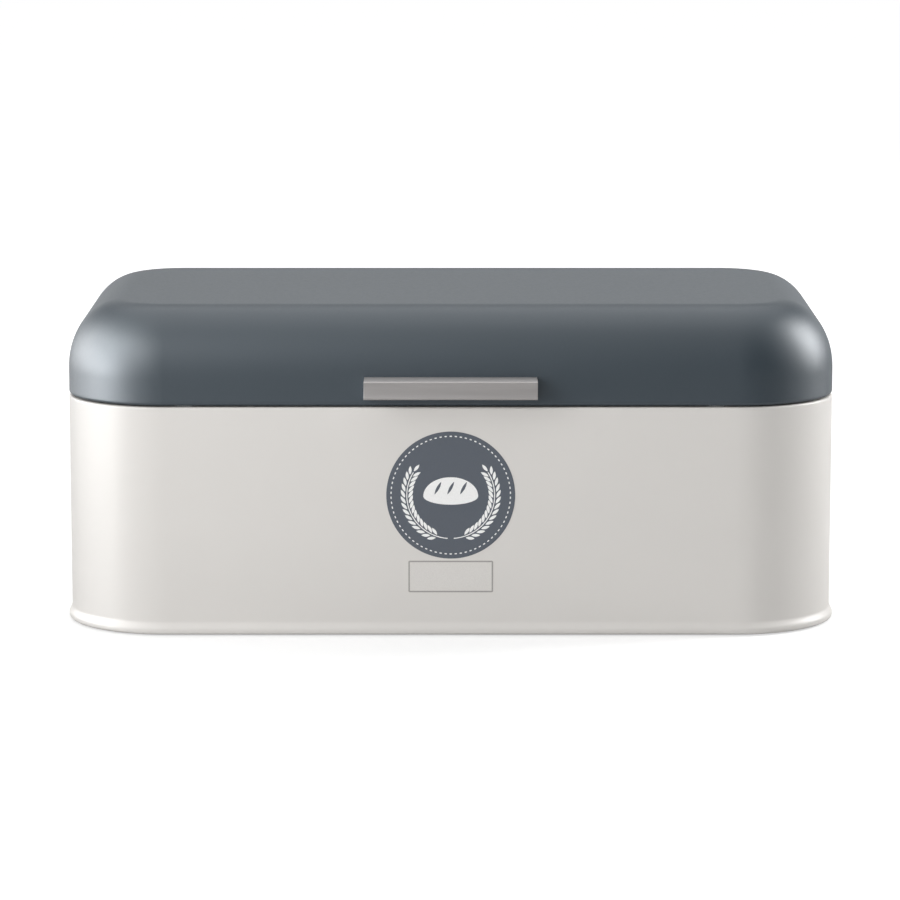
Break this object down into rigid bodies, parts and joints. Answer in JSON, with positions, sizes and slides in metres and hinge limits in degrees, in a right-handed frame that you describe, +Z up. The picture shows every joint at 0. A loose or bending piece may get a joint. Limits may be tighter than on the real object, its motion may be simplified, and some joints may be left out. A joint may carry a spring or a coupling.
{
  "type": "bread box",
  "caption": "Sheet steel bread box with rounded corners, a domed hinged lid, a hooked front handle, rear hinges, a printed disc and a blank plate.",
  "frame": {"origin": "on the table, under the middle of the whole box with its handle and hinges", "axes": "+X along the length to the right, +Y to the back where the hinges are, +Z up; the handle is at the front, at -Y"},
  "size_m": [0.4286, 0.251, 0.18],
  "materials": {
    "off_white_paint": "warm off-white powder coat on sheet steel, satin",
    "slate_paint": "slate grey powder coat on sheet steel, satin",
    "brushed_aluminium": "brushed along its length and clear anodised",
    "zinc_plated_steel": "bright zinc plate",
    "dark_rubber": "matte moulded rubber",
    "clear_silicone": "clear soft silicone",
    "slate_print": null,
    "pale_label": "pale film label with a thin grey outline and no lettering"
  },
  "bodies": {
    "box": {"body_wall": "off_white_paint", "base_pan": "off_white_paint", "hinge_left_body_leaf": "zinc_plated_steel", "hinge_left_pin": "zinc_plated_steel", "hinge_right_body_leaf": "zinc_plated_steel", "hinge_right_pin": "zinc_plated_steel", "rivet_body_left_outer": "zinc_plated_steel", "rivet_body_left_inner": "zinc_plated_steel", "rivet_body_right_outer": "zinc_plated_steel", "rivet_body_right_inner": "zinc_plated_steel", "foot_front_left": "dark_rubber", "foot_front_right": "dark_rubber", "foot_back_left": "dark_rubber", "foot_back_right": "dark_rubber", "buffer_front_left": "clear_silicone", "buffer_front_right": "clear_silicone", "buffer_back_left": "clear_silicone", "buffer_back_right": "clear_silicone", "front_disc": "slate_print", "name_plate": "pale_label"},
    "lid": {"lid_shell": "slate_paint", "handle_pull": "brushed_aluminium", "handle_screw_left": "zinc_plated_steel", "handle_screw_right": "zinc_plated_steel", "handle_washer_left": "zinc_plated_steel", "handle_washer_right": "zinc_plated_steel", "hinge_left_lid_leaf": "zinc_plated_steel", "hinge_right_lid_leaf": "zinc_plated_steel", "rivet_lid_left_outer": "zinc_plated_steel", "rivet_lid_left_inner": "zinc_plated_steel", "rivet_lid_right_outer": "zinc_plated_steel", "rivet_lid_right_inner": "zinc_plated_steel"}
  },
  "joints": [
    {"name": "lid_hinge", "type": "hinge", "parent": "box", "child": "lid", "pos_m": [0, 0.1205, 0.1274], "axis": [-1, 0, 0], "range_deg": [0, 100]}
  ]
}
